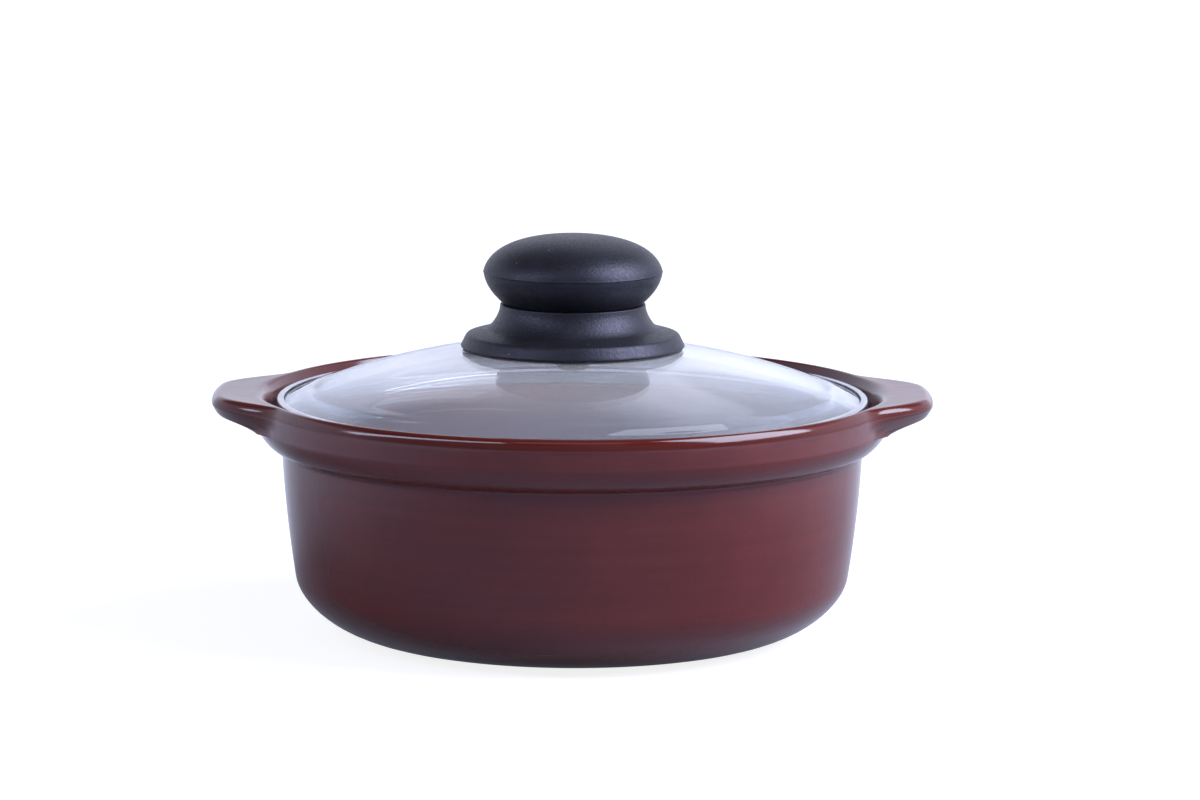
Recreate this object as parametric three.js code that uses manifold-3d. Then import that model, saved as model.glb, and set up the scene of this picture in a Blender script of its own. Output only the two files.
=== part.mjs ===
// Clay saucepan with two lug handles and a steel-banded glass lid carrying a two-piece knob.
// Millimetres, +Z up. The origin is the middle of the flat base, and the lugs point along X.

import * as THREE from "three";
import { mergeVertices } from "three/addons/utils/BufferGeometryUtils.js";
import Module from "manifold-3d";

// Lid, the size class of the whole pan, measured over the steel band
const lidRadius = 89.5;
const bandSheet = 0.5;
const bandFlange = 3;
const bandFoot = 5;
const glassThickness = 4;
const domeRise = 18.6;
const glassHoleRadius = 4;

// Pot rim: a gallery holds the lid, and a thick collar stands out over the wall
const potHeight = 74.2;
const galleryDepth = 8.3;
const lidPlay = 1.7;
const galleryFlare = 2.2;
const galleryFillet = 1.5;
const rimThickness = 2.8;
const rimRounding = 1.9;
const rimLand = 0.3;
const collarHeight = 16.4;
const collarOverhang = 7.7;
const collarUndercut = 7.3;
const collarLean = 0.4;
const collarFillet = 1.8;

// Pot body: a slightly tapered wall over a broad rounded heel
const wallThickness = 6;
const wallTaper = 4.6;
const heelHeight = 18.3;
const heelWidth = 31.4;
const heelFullness = 0.4;
const floorThickness = 7.5;
const ledgeRounding = 1.2;

// Lug handles, drawn out of the collar as shelves with a flat top and a well-rounded inner lip.
// They are wider along the top than along the underside.
const lugReach = 12.9;
const lugLowReach = 12.2;
const lugRootWidth = 78;
const lugTipWidth = 27;
const lugLowRootWidth = 64;
const lugLowTipWidth = 25;
const lugRootThickness = 9.6;
const lugTipThickness = 6.6;
const lugRise = 0.2;
const lugTopEdge = 2.4;
const lugLowEdge = 2.4;
const lugFillet = 2;
const lugLip = 3;
const lugFade = 0.3;

// Knob: a lens-shaped grip stands on a flared skirt
const skirtRadius = 33.9;
const skirtHeight = 13.1;
const skirtEdgeHeight = 3.9;
const skirtEdgeLean = 0.7;
const skirtEdgeRounding = 1;
const skirtFootHeight = 5.4;
const skirtFlare = 4.8;
const flareSpread = 0.58;
const flareLift = 0.03;
const flareRise = 0.63;
const skirtWall = 2.6;
const skirtCrown = 3.2;
const neckRadius = 22;
const seamStep = 0.4;
const gripRadius = 27.1;
const gripConeHeight = 9.8;
const gripConeInset = 0.5;
const gripConeFullness = 0.51;
const gripCapRise = 11.1;
const capSideFullness = 0.26;
const capTopFullness = 0.84;
const spigotRadius = 7;
const spigotLength = 7;
const ribCount = 6;
const ribThickness = 1.8;

// Fixing: a screw from under the glass holds the knob by a brass insert
const screwRadius = 2.5;
const screwGrip = 10;
const screwHeadRadius = 4.8;
const screwHeadHeight = 3;
const screwHeadRounding = 0.6;
const recessLength = 5.3;
const recessWidth = 1.1;
const recessDepth = 1.6;
const insertWall = 1.3;
const insertLength = 13;
const washerRadius = 10;
const washerThickness = 1;
const gasketRadius = 11;
const gasketThickness = 1.5;
const sleeveWall = 0.8;
const ringThickness = 0.7;
const ringWidth = 4;
const ringInset = 0.6;

// Gaps kept between pieces, and the facets of the turned shapes
const fitGap = 0.3;
const faceGap = 0.1;
const lugColumns = 9;
const rimColumns = 11;
const lidFacets = 48;
const knobFacets = 40;
const smallFacets = 24;
const broadSteps = 7;
const curveSteps = 4;
const rimSteps = 3;
const edgeSteps = 2;

// Pot radii and heights, worked outwards from the lid
const seatZ = potHeight - galleryDepth;
const galleryFloorRadius = lidRadius + lidPlay;
const galleryTopRadius = galleryFloorRadius + galleryFlare;
const rimRadius = galleryTopRadius + rimThickness;
const rimLip = rimThickness - rimRounding - rimLand;
const shoulderRadius = rimRadius - collarOverhang;
const shoulderZ = potHeight - collarHeight;
const wallFootRadius = shoulderRadius - wallTaper;
const baseRadius = wallFootRadius - heelWidth;
const mouthRadius = shoulderRadius - wallThickness;
const collarRadius = rimRadius - collarLean;
const collarStart = shoulderRadius + collarFillet;
const collarZ = shoulderZ + collarUndercut;
const lugRootZ = potHeight - lugRootThickness;
const lugJoinZ = lugRootZ - lugFillet;
const lugTipZ = potHeight + lugRise - lugTipThickness;

// Lid heights: the band stands on the gallery seat and its foot carries the glass
const bandBottomZ = seatZ + fitGap;
const glassRadius = lidRadius - bandSheet - fitGap;
const glassEdgeZ = bandBottomZ + bandSheet + fitGap;
const innerSphere = (glassRadius ** 2 + domeRise ** 2) / (2 * domeRise);
const outerSphere = innerSphere + glassThickness;
const sphereZ = glassEdgeZ + domeRise - innerSphere;
const overGlass = (radius) => sphereZ + Math.sqrt(outerSphere ** 2 - radius ** 2);
const underGlass = (radius) => sphereZ + Math.sqrt(innerSphere ** 2 - radius ** 2);
const bandTopZ = overGlass(lidRadius - bandFlange) + fitGap + bandSheet;

// Knob and fixing heights, stacked on the crown of the glass
const onRing = (radius) => overGlass(radius) + ringThickness + 2 * faceGap;
const skirtBottomZ = onRing(skirtRadius);
const skirtEdgeZ = skirtBottomZ + skirtEdgeHeight;
const skirtEdgeRadius = skirtRadius - skirtEdgeLean - skirtEdgeRounding;
const skirtFootZ = skirtBottomZ + skirtFootHeight;
const flareRadius = neckRadius + skirtFlare;
const seamZ = skirtBottomZ + skirtHeight;
const gripCreaseZ = seamZ + gripConeHeight;
const knobTopZ = gripCreaseZ + gripCapRise;
const hubRadius = spigotRadius + fitGap;
const footWall = skirtRadius - skirtEdgeLean - skirtWall;
const boreRadius = screwRadius + fitGap;
const insertRadius = boreRadius + insertWall;
const spigotBottomZ = seamZ - spigotLength;
const insertBottomZ = spigotBottomZ + fitGap;
const screwTopZ = insertBottomZ + screwGrip;
const gasketBottomZ = underGlass(gasketRadius) - faceGap - gasketThickness;
const washerBottomZ = gasketBottomZ - faceGap - washerThickness;
const headTopZ = washerBottomZ - faceGap;
const headBottomZ = headTopZ - screwHeadHeight;

// Shares of a quarter curve's length at which its handles make it round, or flatter than round
const roundHandle = 0.5523;
const flatHandle = 0.38;

const wasm = await Module();
wasm.setup();

// Materials

const finish = (color, roughness, metalness, extra = {}) =>
  new THREE.MeshStandardMaterial({ color, roughness, metalness, ...extra });

// Solids

// A profile of (radius, height) points turned about the Z axis.
function turned(path, facets, steps = curveSteps) {
  return new THREE.LatheGeometry(path.getPoints(steps), facets).rotateX(Math.PI / 2);
}

function closedSolid(geometry) {
  const bare = geometry.clone();
  bare.deleteAttribute("normal");
  bare.deleteAttribute("uv");
  const merged = mergeVertices(bare, 1e-4);
  const mesh = new wasm.Mesh({
    numProp: 3,
    vertProperties: merged.attributes.position.array,
    triVerts: new Uint32Array(merged.index.array),
  });
  return new wasm.Manifold(mesh);
}

function geometryOf(solid) {
  const mesh = solid.getMesh();
  const geometry = new THREE.BufferGeometry();
  geometry.setAttribute("position", new THREE.BufferAttribute(mesh.vertProperties, 3));
  geometry.setIndex(new THREE.BufferAttribute(mesh.triVerts, 1));
  geometry.computeVertexNormals();
  return geometry;
}

// A stretch of profile that follows the dome of the lid from one radius to another.
function followDome(path, surface, fromRadius, toRadius, steps) {
  for (let i = 0; i <= steps; i += 1) {
    const radius = fromRadius + ((toRadius - fromRadius) * i) / steps;
    path.lineTo(radius, surface(radius));
  }
}

// Pot

const lugRootBearing = Math.asin(lugRootWidth / 2 / rimRadius);

// How far along a lug's side an angle about Z lies, from 0 at its tip to 1 at its root.
function alongSide(angle, tipWidth, rootWidth) {
  const tip = Math.asin(tipWidth / 2 / (rimRadius + lugReach));
  const root = Math.asin(rootWidth / 2 / rimRadius);
  const bearing = Math.asin(Math.min(1, Math.abs(Math.sin(angle))));
  return THREE.MathUtils.clamp((bearing - tip) / (root - tip), 0, 1);
}

// How far the top of the rim is drawn out: full at a lug's middle, and gently nothing at its root.
function drawnOut(angle) {
  return 1 - THREE.MathUtils.smoothstep(alongSide(angle, lugTipWidth, lugRootWidth), 0, 1);
}

// The same along the underside, which meets the collar in a clear corner.
function drawnLow(angle) {
  const share = alongSide(angle, lugLowTipWidth, lugLowRootWidth);
  return 1 - share ** 2 * (2 - share);
}

// Columns of the pot's surface, set closer together across the lugs.
function columnAngle(column) {
  const steps = lugColumns + rimColumns;
  const quarter = Math.floor(column / steps);
  const step = quarter % 2 === 0 ? column % steps : steps - (column % steps);
  const share = (step - lugColumns) / rimColumns;
  const bearing = step < lugColumns
    ? (lugRootBearing * step) / lugColumns
    : lugRootBearing + (Math.PI / 2 - lugRootBearing) * share;
  const side = quarter % 2 === 0 ? quarter : quarter + 1;
  const sign = quarter % 2 === 0 ? 1 : -1;
  return (side * Math.PI) / 2 + sign * bearing;
}

// Radius of the collar's outside at a height: rounded below, upright with a slight lean above.
function collarFace(z) {
  if (z < collarZ) {
    const drop = Math.min(1, (collarZ - z) / collarUndercut);
    return collarStart + (collarRadius - collarStart) * Math.sqrt(1 - drop ** 2);
  }
  const share = (z - collarZ) / (potHeight - rimRounding - collarZ);
  return collarRadius + collarLean * Math.min(1, share);
}

// The collar's rounded underside, followed up to where the lugs grow out of it.
function underCollar() {
  const drop = THREE.MathUtils.clamp((collarZ - lugJoinZ) / collarUndercut, 0, 1);
  const points = [];
  for (let i = 1; i <= curveSteps; i += 1) {
    const z = collarZ - collarUndercut * Math.cos((Math.acos(drop) * i) / curveSteps);
    points.push(new THREE.Vector2(collarFace(z), z));
  }
  return points;
}

// The underside of a lug, a shelf that stands out from the collar by its reach.
function underLug(drawn) {
  const reach = lugLowReach * drawn;
  const underZ = THREE.MathUtils.lerp(lugRootZ + lugFade, lugTipZ, drawn);
  const shelf = new THREE.Path();
  shelf.moveTo(0, lugJoinZ);
  shelf.quadraticCurveTo(0, lugRootZ, Math.min(lugFillet, reach / 2), lugRootZ);
  shelf.lineTo(reach - Math.min(lugLowEdge, reach / 2), underZ);
  shelf.quadraticCurveTo(reach, underZ, reach, underZ + lugLowEdge);
  const points = shelf.getPoints(edgeSteps).slice(1);
  return points.map((point) => new THREE.Vector2(collarFace(point.y) + point.x, point.y));
}

// Wall of the pot cut at one angle, from the base up the outside and down the inside.
// drawn and low, along the top and the underside, run from 0 on the plain rim to 1 mid-lug.
function potSection(drawn, low) {
  const taper = wallTaper / (shoulderZ - heelHeight);
  const heelTop = heelHeight * heelFullness;
  const wallTopZ = shoulderZ - collarFillet;
  const noseRadius = rimRadius + lugReach * drawn;
  const topZ = potHeight + lugRise * drawn;
  const edge = THREE.MathUtils.lerp(rimRounding, lugTopEdge, drawn);
  const edgeRadius = noseRadius - edge;
  const lip = THREE.MathUtils.lerp(rimLip, lugLip, drawn);
  const landRadius = galleryTopRadius + lip;
  const lipRadius = galleryTopRadius - (galleryFlare * lip) / (galleryDepth - galleryFillet);
  const footRadius = wallFootRadius - wallThickness;
  const floorRadius = baseRadius - wallThickness / 2;
  const innerHeelZ = heelHeight + floorThickness / 2;

  const outside = new THREE.Path();
  outside.moveTo(0, 0);
  outside.lineTo(baseRadius, 0);
  outside.bezierCurveTo(
    baseRadius + heelWidth * roundHandle, 0,
    wallFootRadius - taper * heelTop, heelHeight - heelTop,
    wallFootRadius, heelHeight,
  );
  outside.lineTo(shoulderRadius, wallTopZ);

  const shoulder = new THREE.Path();
  shoulder.moveTo(shoulderRadius, wallTopZ);
  shoulder.quadraticCurveTo(shoulderRadius, shoulderZ, collarStart, shoulderZ);

  const rim = new THREE.Path();
  rim.moveTo(noseRadius, topZ - edge);
  rim.bezierCurveTo(
    noseRadius, topZ - edge * (1 - flatHandle),
    edgeRadius + edge * flatHandle, topZ,
    edgeRadius, topZ,
  );
  rim.quadraticCurveTo((edgeRadius + landRadius) / 2, potHeight, landRadius, potHeight);

  const gallery = new THREE.Path();
  gallery.moveTo(landRadius, potHeight);
  gallery.quadraticCurveTo(galleryTopRadius, potHeight, lipRadius, potHeight - lip);
  gallery.lineTo(galleryFloorRadius, seatZ + galleryFillet);
  gallery.quadraticCurveTo(galleryFloorRadius, seatZ, galleryFloorRadius - galleryFillet, seatZ);
  gallery.lineTo(mouthRadius + ledgeRounding, seatZ);
  gallery.quadraticCurveTo(mouthRadius, seatZ, mouthRadius, seatZ - ledgeRounding);

  const inside = new THREE.Path();
  inside.moveTo(mouthRadius, seatZ - ledgeRounding);
  inside.lineTo(footRadius, innerHeelZ);
  inside.bezierCurveTo(
    footRadius - taper * heelTop, innerHeelZ - heelTop,
    floorRadius + (footRadius - floorRadius) * roundHandle, floorThickness,
    floorRadius, floorThickness,
  );
  inside.lineTo(0, floorThickness);

  return [
    ...outside.getPoints(broadSteps),
    ...shoulder.getPoints(edgeSteps).slice(1),
    ...underCollar(),
    ...underLug(low),
    ...rim.getPoints(rimSteps),
    ...gallery.getPoints(edgeSteps).slice(1),
    ...inside.getPoints(broadSteps).slice(1),
  ];
}

function potBody() {
  const columns = 4 * (lugColumns + rimColumns);
  const geometry = new THREE.LatheGeometry(potSection(0, 0), columns);
  const position = geometry.attributes.position;
  for (let column = 0; column <= columns; column += 1) {
    const angle = columnAngle(column % columns);
    const section = potSection(drawnOut(angle), drawnLow(angle));
    section.forEach((point, row) => {
      const vertex = column * section.length + row;
      position.setXYZ(vertex, point.x * Math.cos(angle), point.x * Math.sin(angle), point.y);
    });
  }
  geometry.computeVertexNormals();
  return geometry;
}

// Lid

function lidGlass() {
  const domeSteps = 7;
  const path = new THREE.Path();
  path.moveTo(glassHoleRadius, underGlass(glassHoleRadius));
  followDome(path, underGlass, glassHoleRadius, glassRadius, domeSteps);
  followDome(path, overGlass, glassRadius, glassHoleRadius, domeSteps);
  path.closePath();
  return turned(path, lidFacets);
}

// A channel of rolled sheet that wraps the edge of the glass.
function lidRimBand() {
  const wallRadius = lidRadius - bandSheet;
  const lipRadius = lidRadius - bandFlange;
  const footRadius = lidRadius - bandFoot;
  const path = new THREE.Path();
  path.moveTo(footRadius, bandBottomZ);
  path.lineTo(wallRadius, bandBottomZ);
  path.lineTo(lidRadius, bandBottomZ + bandSheet);
  path.lineTo(lidRadius, bandTopZ - bandSheet);
  path.lineTo(wallRadius, bandTopZ);
  path.lineTo(lipRadius, bandTopZ);
  path.lineTo(lipRadius, bandTopZ - bandSheet);
  path.lineTo(wallRadius, bandTopZ - bandSheet);
  path.lineTo(wallRadius, bandBottomZ + bandSheet);
  path.lineTo(footRadius, bandBottomZ + bandSheet);
  path.closePath();
  return turned(path, lidFacets);
}

// Knob

// Height of the skirt's sloping top between its edge and the flare of the neck.
function skirtTop(radius) {
  const share = (skirtEdgeRadius - radius) / (skirtEdgeRadius - flareRadius);
  return THREE.MathUtils.lerp(skirtEdgeZ, skirtFootZ, share);
}

// Space inside the skirt, between its wall and the hub round the screw, parted by ribs.
function skirtHollow() {
  const hubWall = hubRadius + skirtWall;
  const neckWall = neckRadius - skirtWall;
  const path = new THREE.Path();
  path.moveTo(hubWall, overGlass(skirtRadius));
  path.lineTo(footWall, overGlass(skirtRadius));
  path.lineTo(footWall, skirtTop(footWall) - skirtWall);
  path.lineTo(flareRadius, skirtFootZ - skirtWall);
  path.quadraticCurveTo(neckWall, skirtFootZ - skirtWall, neckWall, seamZ - skirtCrown);
  path.lineTo(hubWall, seamZ - skirtCrown);
  path.closePath();
  let hollow = closedSolid(turned(path, knobFacets));
  const ribHeight = skirtHeight - skirtFootHeight / 2;
  for (let i = 0; i < ribCount; i += 1) {
    const rib = new THREE.BoxGeometry(skirtRadius, ribThickness, ribHeight);
    rib.translate(skirtRadius / 2, 0, seamZ - ribHeight / 2);
    rib.rotateZ((2 * Math.PI * (i + 0.5)) / ribCount);
    hollow = hollow.subtract(closedSolid(rib));
  }
  return hollow;
}

function knobSkirt() {
  const flareHeight = seamZ - seamStep - skirtFootZ;
  const hubBottomZ = overGlass(0) + fitGap;
  const edgeSide = skirtRadius - skirtEdgeLean;
  const path = new THREE.Path();
  path.moveTo(hubRadius, hubBottomZ);
  path.lineTo(hubRadius + skirtWall, hubBottomZ);
  path.lineTo(footWall, onRing(footWall));
  path.lineTo(skirtRadius, onRing(skirtRadius));
  path.lineTo(edgeSide, skirtEdgeZ - skirtEdgeRounding);
  path.quadraticCurveTo(edgeSide, skirtEdgeZ, skirtEdgeRadius, skirtEdgeZ);
  path.lineTo(flareRadius, skirtFootZ);
  path.bezierCurveTo(
    neckRadius + skirtFlare * flareSpread, skirtFootZ + flareHeight * flareLift,
    neckRadius, skirtFootZ + flareHeight * flareRise,
    neckRadius, seamZ - seamStep,
  );
  path.lineTo(neckRadius - seamStep, seamZ);
  path.lineTo(hubRadius, seamZ);
  path.closePath();
  return geometryOf(closedSolid(turned(path, knobFacets)).subtract(skirtHollow()));
}

function knobGrip() {
  const pocketRadius = insertRadius + fitGap;
  const pocketTopZ = insertBottomZ + insertLength + fitGap;
  const path = new THREE.Path();
  path.moveTo(0, pocketTopZ);
  path.lineTo(pocketRadius, pocketTopZ);
  path.lineTo(pocketRadius, spigotBottomZ);
  path.lineTo(spigotRadius, spigotBottomZ);
  path.lineTo(spigotRadius, seamZ + faceGap);
  path.lineTo(neckRadius - 2 * seamStep, seamZ + faceGap);
  path.quadraticCurveTo(
    gripRadius - gripConeInset, seamZ + gripConeHeight * gripConeFullness,
    gripRadius, gripCreaseZ,
  );
  path.bezierCurveTo(
    gripRadius, gripCreaseZ + gripCapRise * capSideFullness,
    gripRadius * capTopFullness, knobTopZ,
    0, knobTopZ,
  );
  return turned(path, knobFacets, broadSteps);
}

// Fixing

function knobInsert() {
  const grooveRadius = insertRadius - insertWall / 2;
  const third = insertLength / 3;
  const path = new THREE.Path();
  path.moveTo(boreRadius, insertBottomZ);
  path.lineTo(insertRadius, insertBottomZ);
  path.lineTo(insertRadius, insertBottomZ + third);
  path.lineTo(grooveRadius, insertBottomZ + third);
  path.lineTo(grooveRadius, insertBottomZ + 2 * third);
  path.lineTo(insertRadius, insertBottomZ + 2 * third);
  path.lineTo(insertRadius, insertBottomZ + insertLength);
  path.lineTo(boreRadius, insertBottomZ + insertLength);
  path.closePath();
  return turned(path, smallFacets);
}

// A pan-headed screw with a cross recess.
function knobScrew() {
  const headSide = screwHeadHeight * screwHeadRounding;
  const path = new THREE.Path();
  path.moveTo(0, headBottomZ);
  path.lineTo(screwHeadRadius * screwHeadRounding, headBottomZ);
  path.quadraticCurveTo(screwHeadRadius, headBottomZ, screwHeadRadius, headBottomZ + headSide);
  path.lineTo(screwHeadRadius, headTopZ);
  path.lineTo(screwRadius, headTopZ);
  path.lineTo(screwRadius, screwTopZ - screwRadius / 2);
  path.lineTo(screwRadius / 2, screwTopZ);
  path.lineTo(0, screwTopZ);
  let screw = closedSolid(turned(path, smallFacets));
  for (const turn of [0, Math.PI / 2]) {
    const slot = new THREE.BoxGeometry(recessLength, recessWidth, 2 * recessDepth);
    slot.rotateZ(turn).translate(0, 0, headBottomZ);
    screw = screw.subtract(closedSolid(slot));
  }
  return geometryOf(screw);
}

function underWasher() {
  const path = new THREE.Path();
  path.moveTo(boreRadius, washerBottomZ);
  path.lineTo(washerRadius - washerThickness / 2, washerBottomZ);
  path.lineTo(washerRadius, washerBottomZ + washerThickness / 2);
  path.lineTo(washerRadius, washerBottomZ + washerThickness);
  path.lineTo(boreRadius, washerBottomZ + washerThickness);
  path.closePath();
  return turned(path, smallFacets);
}

// The gasket lies against the curve of the glass, and its sleeve lines the hole.
function underGasket() {
  const steps = 3;
  const sleeveRadius = boreRadius + sleeveWall;
  const upper = (radius) => underGlass(radius) - faceGap;
  const path = new THREE.Path();
  path.moveTo(boreRadius, gasketBottomZ);
  path.lineTo(gasketRadius, gasketBottomZ);
  followDome(path, upper, gasketRadius, sleeveRadius, steps);
  path.lineTo(sleeveRadius, overGlass(0) - faceGap);
  path.lineTo(boreRadius, overGlass(0) - faceGap);
  path.closePath();
  return turned(path, smallFacets);
}

// A soft ring between the foot of the skirt and the glass.
function skirtRing() {
  const steps = 2;
  const outerRadius = skirtRadius - ringInset;
  const innerRadius = outerRadius - ringWidth;
  const lower = (radius) => overGlass(radius) + faceGap;
  const upper = (radius) => overGlass(radius) + faceGap + ringThickness;
  const path = new THREE.Path();
  path.moveTo(innerRadius, lower(innerRadius));
  followDome(path, lower, innerRadius, outerRadius, steps);
  followDome(path, upper, outerRadius, innerRadius, steps);
  path.closePath();
  return turned(path, knobFacets);
}

// Assembly

function piece(name, geometry, material) {
  const mesh = new THREE.Mesh(geometry, material);
  mesh.name = name;
  return mesh;
}

const glaze = finish(0x5a2e2a, 0.35, 0);
const glass = finish(0xdfe4e6, 0.05, 0, { transparent: true, opacity: 0.35 });

const lid = new THREE.Group();
lid.add(piece("lid_glass", lidGlass(), glass));
lid.add(piece("lid_rim_band", lidRimBand(), finish(0xc9c8c6, 0.28, 1)));
lid.add(piece("knob_skirt", knobSkirt(), finish(0x17171a, 0.45, 0)));
lid.add(piece("knob_grip", knobGrip(), finish(0x17171a, 0.45, 0)));
lid.add(piece("knob_insert", knobInsert(), finish(0xb08d4a, 0.35, 1)));
lid.add(piece("knob_screw", knobScrew(), finish(0xb8b8b8, 0.3, 1)));
lid.add(piece("under_washer", underWasher(), finish(0xc4c4c4, 0.3, 1)));
lid.add(piece("under_gasket", underGasket(), finish(0x3a3b3e, 0.7, 0)));
lid.add(piece("skirt_ring", skirtRing(), finish(0x3a3b3e, 0.7, 0)));

const saucepan = new THREE.Group();
saucepan.add(piece("pot_body", potBody(), glaze), lid);

export default saucepan;
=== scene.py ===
import math

import bpy
import numpy as np
from mathutils import Matrix, Quaternion, Vector


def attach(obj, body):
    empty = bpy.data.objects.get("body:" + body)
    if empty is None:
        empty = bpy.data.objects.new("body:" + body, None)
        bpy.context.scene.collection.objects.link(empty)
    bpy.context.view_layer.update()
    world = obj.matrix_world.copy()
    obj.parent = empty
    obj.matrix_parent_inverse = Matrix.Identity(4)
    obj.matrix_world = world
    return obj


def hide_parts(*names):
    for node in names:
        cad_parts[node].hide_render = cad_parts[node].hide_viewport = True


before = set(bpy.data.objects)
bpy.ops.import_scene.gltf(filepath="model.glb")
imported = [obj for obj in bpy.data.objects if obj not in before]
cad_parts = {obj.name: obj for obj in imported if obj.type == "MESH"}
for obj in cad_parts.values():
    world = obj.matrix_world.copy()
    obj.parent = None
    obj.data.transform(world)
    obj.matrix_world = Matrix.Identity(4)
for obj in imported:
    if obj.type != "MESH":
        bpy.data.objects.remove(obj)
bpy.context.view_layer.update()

# All sizes below are in millimetres and are brought to metres as the pieces are drawn
MM = 0.001

# Lid
lid_radius = 89.5
band_sheet = 0.5
band_flange = 2.2
band_foot = 5.0
band_fold = 0.9
glass_thickness = 4.0
dome_rise = 18.6
glass_hole_radius = 4.0
glass_edge_rounding = 0.5
edge_swell = 0.19
edge_swell_start = 75.5
edge_swell_crest = 80.0
edge_swell_end = 83.6

# Pot rim and collar
pot_height = 74.2
gallery_depth = 8.3
lid_play = 1.7
gallery_flare = 2.2
gallery_fillet = 1.5
rim_thickness = 2.8
rim_rounding = 1.9
rim_drop = 3.8
rim_land = 0.3
collar_height = 16.4
collar_overhang = 8.3
collar_undercut = 7.3
collar_lean = 0.4
collar_fillet = 1.8
collar_fullness = 1.4

# Pot body
wall_thickness = 6.0
wall_taper = 4.0
wall_bulge = 0.5
heel_height = 18.3
heel_width = 31.4
heel_fullness = 0.6
heel_ease = 0.4
base_border = 2.0
floor_thickness = 7.5
ledge_rounding = 1.2

# Lug handles
lug_reach = 12.9
lug_low_reach = 12.2
lug_root_width = 78.0
lug_tip_width = 27.0
lug_low_root_width = 68.0
lug_low_tip_width = 25.0
lug_root_thickness = 9.6
lug_tip_thickness = 6.6
lug_rise = 0.2
lug_top_edge = 2.8
lug_low_edge = 2.4
lug_fillet = 2.0
lug_lip = 3.0
lug_fade = 0.3
lug_flare_onset = 0.25

# Knob
skirt_radius = 33.9
skirt_height = 13.1
skirt_edge_height = 3.9
skirt_edge_lean = 0.7
skirt_edge_rounding = 1.0
skirt_foot_height = 5.4
skirt_flare = 4.8
skirt_wall = 2.6
skirt_crown = 3.2
skirt_lip = 0.5
skirt_lip_lean = 0.05
neck_radius = 22.0
seam_step = 0.4
grip_radius = 27.1
grip_cone_height = 9.8
grip_cap_rise = 11.1
parting_line = 0.12
spigot_radius = 7.0
spigot_length = 7.0
rib_count = 6
rib_thickness = 1.8

# Fixing under the knob
screw_radius = 2.5
screw_grip = 10.0
screw_head_radius = 4.8
screw_head_height = 3.0
thread_pitch = 0.8
thread_depth = 0.35
recess_share = 1.1
recess_width = 1.1
recess_depth = 1.6
insert_wall = 1.3
insert_length = 13.0
washer_radius = 10.0
washer_thickness = 1.0
gasket_radius = 11.0
gasket_thickness = 1.5
sleeve_wall = 0.8
ring_thickness = 0.7
ring_width = 4.0
ring_inset = 0.6

# Gaps between pieces, and how finely each piece is drawn and turned
fit_gap = 0.3
face_gap = 0.1
weld_gap = 0.0005
row_gap = 0.1
pot_columns = 480
lid_columns = 240
knob_columns = 160
small_columns = 64
broad_steps = 18
wall_steps = 12
curve_steps = 10
edge_steps = 6

# Share of a radius at which a curve's handle makes a quarter circle
round_handle = 0.5523

# Pot radii and heights
seat_z = pot_height - gallery_depth
gallery_floor_radius = lid_radius + lid_play
gallery_top_radius = gallery_floor_radius + gallery_flare
rim_radius = gallery_top_radius + rim_thickness
rim_lip = rim_thickness - rim_rounding - rim_land
shoulder_radius = rim_radius - collar_overhang
shoulder_z = pot_height - collar_height
wall_height = shoulder_z - heel_height
wall_foot_radius = shoulder_radius - wall_taper
base_radius = wall_foot_radius - heel_width
mouth_radius = shoulder_radius - wall_thickness

# Lid heights
band_bottom_z = seat_z + fit_gap
glass_radius = lid_radius - band_sheet - fit_gap
glass_edge_z = band_bottom_z + band_sheet + fit_gap
inner_sphere = (glass_radius ** 2 + dome_rise ** 2) / (2 * dome_rise)
outer_sphere = inner_sphere + glass_thickness
sphere_z = glass_edge_z + dome_rise - inner_sphere


def over_glass(radius):
    """Height of the plain dome's outside at a radius."""
    return sphere_z + math.sqrt(outer_sphere ** 2 - radius ** 2)


def under_glass(radius):
    """Height of the dome's inside at a radius."""
    return sphere_z + math.sqrt(inner_sphere ** 2 - radius ** 2)


def on_ring(radius):
    """Height of the skirt's foot, which stands on the soft ring."""
    return over_glass(radius) + ring_thickness + 2 * face_gap


band_top_z = over_glass(lid_radius - band_flange) + fit_gap + band_sheet

# Knob and fixing heights
skirt_bottom_z = on_ring(skirt_radius)
skirt_edge_z = skirt_bottom_z + skirt_edge_height
skirt_edge_radius = skirt_radius - skirt_edge_lean - skirt_edge_rounding
skirt_foot_z = skirt_bottom_z + skirt_foot_height
flare_radius = neck_radius + skirt_flare
seam_z = skirt_bottom_z + skirt_height
grip_crease_z = seam_z + grip_cone_height
knob_top_z = grip_crease_z + grip_cap_rise
hub_radius = spigot_radius + fit_gap
foot_wall = skirt_radius - skirt_edge_lean - skirt_wall
bore_radius = screw_radius + fit_gap
insert_radius = bore_radius + insert_wall
spigot_bottom_z = seam_z - spigot_length
insert_bottom_z = spigot_bottom_z + fit_gap
screw_top_z = insert_bottom_z + screw_grip
gasket_bottom_z = under_glass(gasket_radius) - face_gap - gasket_thickness
washer_bottom_z = gasket_bottom_z - face_gap - washer_thickness
head_top_z = washer_bottom_z - face_gap
head_bottom_z = head_top_z - screw_head_height


# Profiles: lists of (radius, height) points that grow stretch by stretch

def ease(share):
    """A share from 0 to 1 that starts and ends gently."""
    return share ** 2 * (3 - 2 * share)


def straight(profile, end, steps=1):
    start = profile[-1]
    for i in range(1, steps + 1):
        share = i / steps
        profile.append(tuple(a + (b - a) * share for a, b in zip(start, end)))


def curve(profile, handles, end, steps):
    """Goes on in a smooth curve that its handles pull towards them."""
    points = (profile[-1], *handles, end)
    last = len(points) - 1
    for i in range(1, steps + 1):
        t = i / steps
        weights = [math.comb(last, k) * t ** k * (1 - t) ** (last - k) for k in range(last + 1)]
        profile.append(tuple(sum(w * p[k] for w, p in zip(weights, points)) for k in (0, 1)))


def bend(profile, handle, end, steps=edge_steps):
    curve(profile, (handle,), end, steps)


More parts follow.
